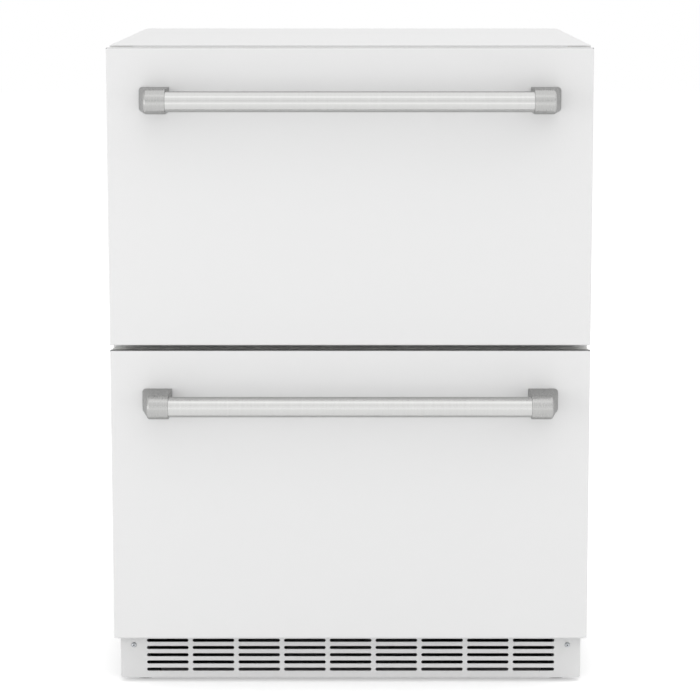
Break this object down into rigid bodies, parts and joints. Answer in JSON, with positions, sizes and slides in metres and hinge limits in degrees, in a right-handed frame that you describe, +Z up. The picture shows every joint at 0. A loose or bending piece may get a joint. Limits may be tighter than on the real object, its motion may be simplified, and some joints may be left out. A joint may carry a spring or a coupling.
{
  "type": "undercounter drawer refrigerator",
  "caption": "White undercounter refrigerator with two pull-out drawer fronts, bar handles and a slotted kick plate.",
  "frame": {"origin": "on the floor, in the middle of the overall width and of the overall depth, which runs from the handles to the back panel", "axes": "+X to the right of someone facing the drawers, +Y towards the back panel, +Z up; the drawers pull out along -Y"},
  "size_m": [0.595, 0.66, 0.815],
  "materials": {
    "white_paint": "satin",
    "brushed_stainless": "satin",
    "galvanised_steel": "matte",
    "zinc_plating": "satin",
    "black_paint": "satin",
    "white_plastic": "satin",
    "dark_edge_foam": "matte",
    "insulation_foam": "matte",
    "grey_rubber": "matte",
    "black_plastic": "matte",
    "bin_plastic": "satin",
    "lens_plastic": "satin",
    "coil_aluminium": "satin",
    "display_glass": "polished"
  },
  "bodies": {
    "cabinet": {"left_side_panel": "white_paint", "right_side_panel": "white_paint", "top_panel": "white_paint", "back_panel": "galvanised_steel", "bottom_plate": "galvanised_steel", "cabinet_foam": "insulation_foam", "inner_liner": "white_plastic", "mullion_rail": "white_paint", "base_pan": "black_paint", "kick_plate": "white_paint", "kick_screw_left": "zinc_plating", "kick_screw_right": "zinc_plating", "compressor": "black_paint", "condenser_coil": "black_paint", "condenser_fan_frame": "black_plastic", "drip_tray": "black_plastic", "rear_machine_cover": "galvanised_steel", "power_cord_gland": "black_plastic", "evaporator_cover": "white_plastic", "evaporator_coil": "coil_aluminium", "evaporator_fan_frame": "black_plastic", "control_housing": "white_plastic", "control_display": "display_glass", "lamp_lens": "lens_plastic", "upper_runner_left_cabinet_member": "zinc_plating", "upper_runner_right_cabinet_member": "zinc_plating", "lower_runner_left_cabinet_member": "zinc_plating", "lower_runner_right_cabinet_member": "zinc_plating"},
    "upper_drawer": {"upper_front_skin": "white_paint", "upper_door_core": "dark_edge_foam", "upper_inner_panel": "white_plastic", "upper_gasket": "grey_rubber", "upper_handle_bar": "brushed_stainless", "upper_handle_bracket_left": "brushed_stainless", "upper_handle_bracket_right": "brushed_stainless", "upper_bin": "bin_plastic", "upper_runner_left_drawer_member": "zinc_plating", "upper_runner_right_drawer_member": "zinc_plating"},
    "lower_drawer": {"lower_front_skin": "white_paint", "lower_door_core": "dark_edge_foam", "lower_inner_panel": "white_plastic", "lower_gasket": "grey_rubber", "lower_handle_bar": "brushed_stainless", "lower_handle_bracket_left": "brushed_stainless", "lower_handle_bracket_right": "brushed_stainless", "lower_bin": "bin_plastic", "lower_runner_left_drawer_member": "zinc_plating", "lower_runner_right_drawer_member": "zinc_plating"},
    "upper_left_middle_slide": {"upper_runner_left_middle_member": "zinc_plating"},
    "upper_right_middle_slide": {"upper_runner_right_middle_member": "zinc_plating"},
    "lower_left_middle_slide": {"lower_runner_left_middle_member": "zinc_plating"},
    "lower_right_middle_slide": {"lower_runner_right_middle_member": "zinc_plating"},
    "front_left_foot": {"foot_front_left": "zinc_plating"},
    "front_right_foot": {"foot_front_right": "zinc_plating"},
    "rear_left_foot": {"foot_rear_left": "zinc_plating"},
    "rear_right_foot": {"foot_rear_right": "zinc_plating"},
    "condenser_fan": {"condenser_fan_rotor": "black_plastic"},
    "evaporator_fan": {"evaporator_fan_rotor": "black_plastic"},
    "warmer_button": {"button_warmer": "black_plastic"},
    "colder_button": {"button_colder": "black_plastic"}
  },
  "joints": [
    {"name": "upper_drawer_slide", "type": "slide", "parent": "cabinet", "child": "upper_drawer", "axis": [0, -1, 0], "range_m": [0, 0.4]},
    {"name": "lower_drawer_slide", "type": "slide", "parent": "cabinet", "child": "lower_drawer", "axis": [0, -1, 0], "range_m": [0, 0.4]},
    {"name": "upper_left_middle_travel", "type": "slide", "parent": "cabinet", "child": "upper_left_middle_slide", "axis": [0, -1, 0], "range_m": [0, 0.2]},
    {"name": "upper_right_middle_travel", "type": "slide", "parent": "cabinet", "child": "upper_right_middle_slide", "axis": [0, -1, 0], "range_m": [0, 0.2]},
    {"name": "lower_left_middle_travel", "type": "slide", "parent": "cabinet", "child": "lower_left_middle_slide", "axis": [0, -1, 0], "range_m": [0, 0.2]},
    {"name": "lower_right_middle_travel", "type": "slide", "parent": "cabinet", "child": "lower_right_middle_slide", "axis": [0, -1, 0], "range_m": [0, 0.2]},
    {"name": "front_left_foot_screw", "type": "slide", "parent": "cabinet", "child": "front_left_foot", "axis": [0, 0, -1], "range_m": [0, 0.025]},
    {"name": "front_right_foot_screw", "type": "slide", "parent": "cabinet", "child": "front_right_foot", "axis": [0, 0, -1], "range_m": [0, 0.025]},
    {"name": "rear_left_foot_screw", "type": "slide", "parent": "cabinet", "child": "rear_left_foot", "axis": [0, 0, -1], "range_m": [0, 0.025]},
    {"name": "rear_right_foot_screw", "type": "slide", "parent": "cabinet", "child": "rear_right_foot", "axis": [0, 0, -1], "range_m": [0, 0.025]},
    {"name": "condenser_fan_spin", "type": "hinge", "parent": "cabinet", "child": "condenser_fan", "pos_m": [-0.186, 0.23785, 0.0965], "axis": [1, 0, 0], "continuous": true},
    {"name": "evaporator_fan_spin", "type": "hinge", "parent": "cabinet", "child": "evaporator_fan", "pos_m": [0, 0.262, 0.5296], "axis": [0, 1, 0], "continuous": true},
    {"name": "warmer_button_press", "type": "slide", "parent": "cabinet", "child": "warmer_button", "axis": [0, 1, 0], "range_m": [0, 0.0012], "stiffness_N_per_m": 800, "springref_m": -0.001},
    {"name": "colder_button_press", "type": "slide", "parent": "cabinet", "child": "colder_button", "axis": [0, 1, 0], "range_m": [0, 0.0012], "stiffness_N_per_m": 800, "springref_m": -0.001}
  ],
  "couplings": [
    {"joint": "upper_left_middle_travel", "follows": "upper_drawer_slide", "ratio": 0.5},
    {"joint": "upper_right_middle_travel", "follows": "upper_drawer_slide", "ratio": 0.5},
    {"joint": "lower_left_middle_travel", "follows": "lower_drawer_slide", "ratio": 0.5},
    {"joint": "lower_right_middle_travel", "follows": "lower_drawer_slide", "ratio": 0.5}
  ]
}
